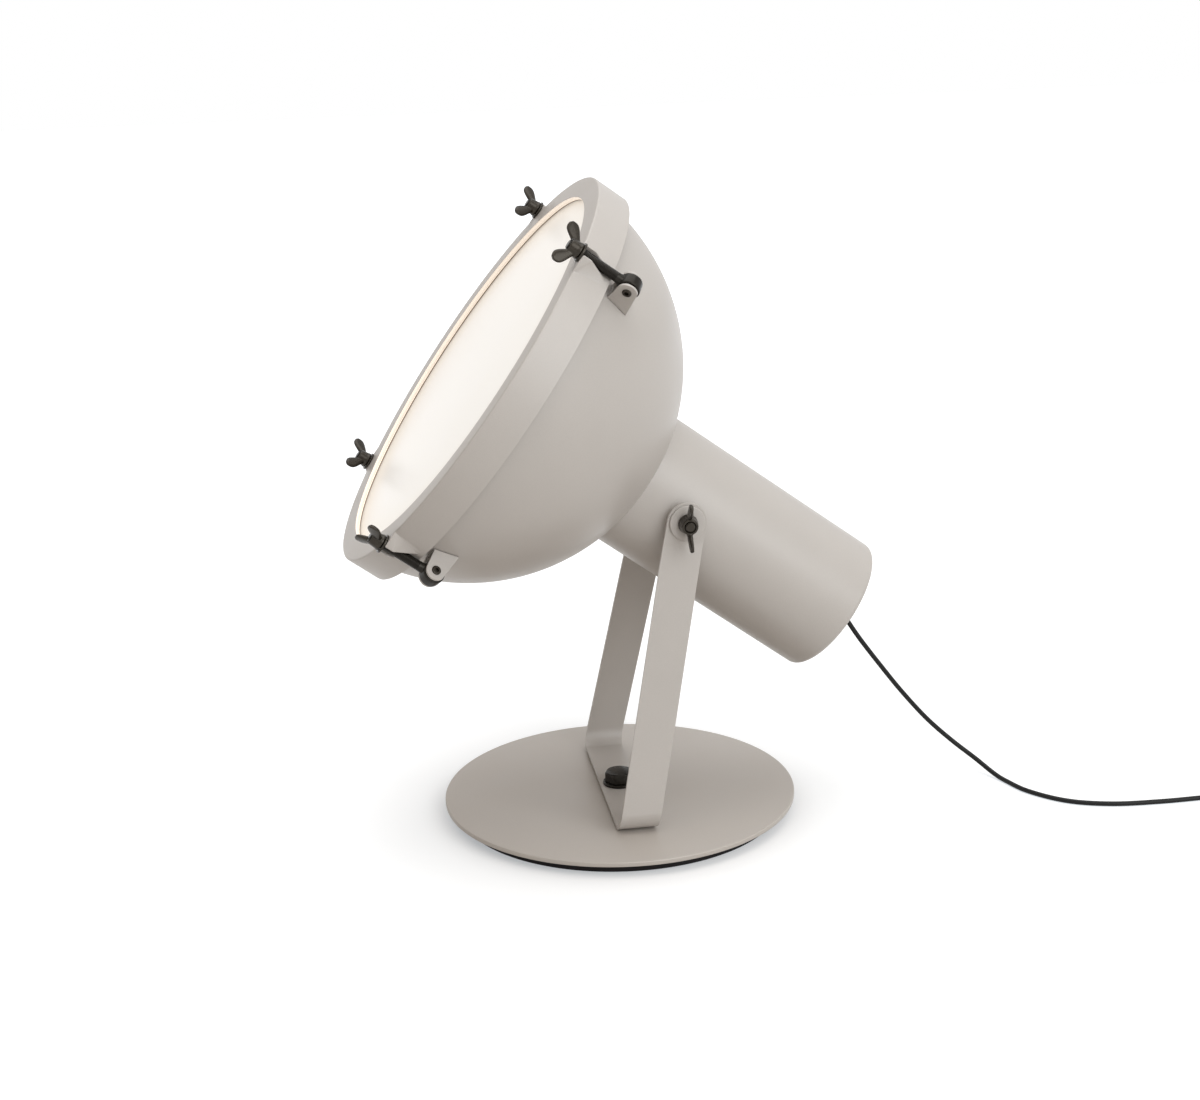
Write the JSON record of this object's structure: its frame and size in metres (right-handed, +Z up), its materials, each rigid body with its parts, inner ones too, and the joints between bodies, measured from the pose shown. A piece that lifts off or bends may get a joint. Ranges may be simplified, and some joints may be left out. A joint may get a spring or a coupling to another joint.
{
  "type": "adjustable floor lamp",
  "caption": "Round-based floor lamp: a bowl head with a clamped glass front tilts in a leaning steel fork that turns on a weighted disc.",
  "frame": {"origin": "middle of the underside of the base pad, on the floor, on the swivel bolt's axis", "axes": "+Z up; the glass faces -X and upwards; the cord leaves towards +X; the tilt axis is along Y"},
  "size_m": [0.8846, 0.365, 0.5373],
  "materials": {
    "sand_paint": "warm light grey powder paint with a fine satin grain",
    "black_steel": "blackened steel, satin",
    "zinc_steel": "plain zinc-plated steel",
    "frosted_glass": "pale frosted toughened glass",
    "clear_glass": "opal bulb glass",
    "gasket_rubber": "brown-grey silicone channel, matt",
    "foot_rubber": "black rubber, matt",
    "black_plastic": "black moulded plastic, fine grain",
    "cord_black": "black PVC cord, slightly shiny"
  },
  "bodies": {
    "base": {"base_plate": "sand_paint", "base_pad": "foot_rubber", "yoke_spacer": "black_steel", "swivel_washer": "black_steel", "swivel_bolt": "black_steel", "swivel_nut": "black_steel"},
    "yoke": {"yoke": "sand_paint", "cord_lead": "cord_black", "cord_tail": "cord_black", "cord_coil": "cord_black", "cord_end": "cord_black", "cord_tie": "foot_rubber", "switch_base": "black_plastic", "switch_cover": "black_plastic", "plug_body": "black_plastic", "plug_pin_left": "zinc_steel", "plug_pin_right": "zinc_steel"},
    "head": {"bowl": "sand_paint", "drum": "sand_paint", "neck_plate": "zinc_steel", "front_ring": "sand_paint", "glass_disc": "frosted_glass", "glass_channel": "gasket_rubber", "lamp_bracket": "zinc_steel", "lampholder": "black_plastic", "bulb_cap": "zinc_steel", "bulb_glass": "clear_glass", "terminal_block": "black_plastic", "cord_inner": "cord_black", "cord_gland": "black_plastic", "gland_nut": "black_plastic", "pivot_stud_near": "black_steel", "pivot_stud_far": "black_steel", "pivot_boss_near": "sand_paint", "pivot_boss_far": "sand_paint", "lug_top_near": "sand_paint", "lug_top_far": "sand_paint", "lug_low_near": "sand_paint", "lug_low_far": "sand_paint", "lug_pin_top_near": "black_steel", "lug_pin_top_far": "black_steel", "lug_pin_low_near": "black_steel", "lug_pin_low_far": "black_steel"},
    "rocker": {"switch_rocker": "black_plastic"},
    "clamp_bolt_top_near": {"swing_bolt_top_near": "black_steel"},
    "clamp_washer_top_near": {"clamp_washer_top_near": "black_steel"},
    "clamp_nut_top_near": {"clamp_nut_top_near": "black_steel"},
    "clamp_bolt_top_far": {"swing_bolt_top_far": "black_steel"},
    "clamp_washer_top_far": {"clamp_washer_top_far": "black_steel"},
    "clamp_nut_top_far": {"clamp_nut_top_far": "black_steel"},
    "clamp_bolt_low_near": {"swing_bolt_low_near": "black_steel"},
    "clamp_washer_low_near": {"clamp_washer_low_near": "black_steel"},
    "clamp_nut_low_near": {"clamp_nut_low_near": "black_steel"},
    "clamp_bolt_low_far": {"swing_bolt_low_far": "black_steel"},
    "clamp_washer_low_far": {"clamp_washer_low_far": "black_steel"},
    "clamp_nut_low_far": {"clamp_nut_low_far": "black_steel"},
    "pivot_washer_near": {"pivot_washer_near": "sand_paint"},
    "pivot_nut_near": {"pivot_nut_near": "black_steel"},
    "pivot_washer_far": {"pivot_washer_far": "sand_paint"},
    "pivot_nut_far": {"pivot_nut_far": "black_steel"}
  },
  "joints": [
    {"name": "yoke_swivel", "type": "hinge", "parent": "base", "child": "yoke", "pos_m": [0, 0, 0.0163], "axis": [0, 0, 1], "range_deg": [-180, 180]},
    {"name": "head_tilt", "type": "hinge", "parent": "yoke", "child": "head", "pos_m": [0.0507, 0, 0.2679], "axis": [0, 1, 0], "range_deg": [-50, 100], "deforming": ["cord_lead"]},
    {"name": "clamp_swing_top_near", "type": "hinge", "parent": "head", "child": "clamp_bolt_top_near", "pos_m": [-0.00137, -0.13223, 0.47163], "axis": [0.4226, 0.7071, 0.5669], "range_deg": [0, 95]},
    {"name": "clamp_travel_top_near", "type": "slide", "parent": "clamp_bolt_top_near", "child": "clamp_washer_top_near", "axis": [-0.8018, 0, 0.5976], "range_m": [0, 0.00376]},
    {"name": "clamp_turn_top_near", "type": "hinge", "parent": "clamp_washer_top_near", "child": "clamp_nut_top_near", "pos_m": [-0.00137, -0.13223, 0.47163], "axis": [-0.8018, 0, 0.5976], "range_deg": [0, 1080]},
    {"name": "clamp_swing_top_far", "type": "hinge", "parent": "head", "child": "clamp_bolt_top_far", "pos_m": [-0.00137, 0.13223, 0.47163], "axis": [-0.4226, 0.7071, -0.5669], "range_deg": [0, 95]},
    {"name": "clamp_travel_top_far", "type": "slide", "parent": "clamp_bolt_top_far", "child": "clamp_washer_top_far", "axis": [-0.8018, 0, 0.5976], "range_m": [0, 0.00376]},
    {"name": "clamp_turn_top_far", "type": "hinge", "parent": "clamp_washer_top_far", "child": "clamp_nut_top_far", "pos_m": [-0.00137, 0.13223, 0.47163], "axis": [-0.8018, 0, 0.5976], "range_deg": [0, 1080]},
    {"name": "clamp_swing_low_near", "type": "hinge", "parent": "head", "child": "clamp_bolt_low_near", "pos_m": [-0.15941, -0.13223, 0.25959], "axis": [0.4226, -0.7071, 0.5669], "range_deg": [0, 95]},
    {"name": "clamp_travel_low_near", "type": "slide", "parent": "clamp_bolt_low_near", "child": "clamp_washer_low_near", "axis": [-0.8018, 0, 0.5976], "range_m": [0, 0.00376]},
    {"name": "clamp_turn_low_near", "type": "hinge", "parent": "clamp_washer_low_near", "child": "clamp_nut_low_near", "pos_m": [-0.15941, -0.13223, 0.25959], "axis": [-0.8018, 0, 0.5976], "range_deg": [0, 1080]},
    {"name": "clamp_swing_low_far", "type": "hinge", "parent": "head", "child": "clamp_bolt_low_far", "pos_m": [-0.15941, 0.13223, 0.25959], "axis": [-0.4226, -0.7071, -0.5669], "range_deg": [0, 95]},
    {"name": "clamp_travel_low_far", "type": "slide", "parent": "clamp_bolt_low_far", "child": "clamp_washer_low_far", "axis": [-0.8018, 0, 0.5976], "range_m": [0, 0.00376]},
    {"name": "clamp_turn_low_far", "type": "hinge", "parent": "clamp_washer_low_far", "child": "clamp_nut_low_far", "pos_m": [-0.15941, 0.13223, 0.25959], "axis": [-0.8018, 0, 0.5976], "range_deg": [0, 1080]},
    {"name": "pivot_travel_near", "type": "slide", "parent": "head", "child": "pivot_washer_near", "axis": [0, -1, 0], "range_m": [0, 0.00376]},
    {"name": "pivot_turn_near", "type": "hinge", "parent": "pivot_washer_near", "child": "pivot_nut_near", "pos_m": [0.0507, 0, 0.2679], "axis": [0, -1, 0], "range_deg": [0, 1080]},
    {"name": "pivot_travel_far", "type": "slide", "parent": "head", "child": "pivot_washer_far", "axis": [0, 1, 0], "range_m": [0, 0.00376]},
    {"name": "pivot_turn_far", "type": "hinge", "parent": "pivot_washer_far", "child": "pivot_nut_far", "pos_m": [0.0507, 0, 0.2679], "axis": [0, 1, 0], "range_deg": [0, 1080]},
    {"name": "rocker_press", "type": "hinge", "parent": "yoke", "child": "rocker", "pos_m": [0.5333, -0.104, 0.0174], "axis": [0, -1, 0], "range_deg": [0, 16]}
  ],
  "couplings": [
    {"joint": "clamp_travel_top_near", "follows": "clamp_turn_top_near", "m_per_rad": 0.00019894},
    {"joint": "clamp_travel_top_far", "follows": "clamp_turn_top_far", "m_per_rad": 0.00019894},
    {"joint": "clamp_travel_low_near", "follows": "clamp_turn_low_near", "m_per_rad": 0.00019894},
    {"joint": "clamp_travel_low_far", "follows": "clamp_turn_low_far", "m_per_rad": 0.00019894},
    {"joint": "pivot_travel_near", "follows": "pivot_turn_near", "m_per_rad": 0.00019894},
    {"joint": "pivot_travel_far", "follows": "pivot_turn_far", "m_per_rad": 0.00019894}
  ]
}
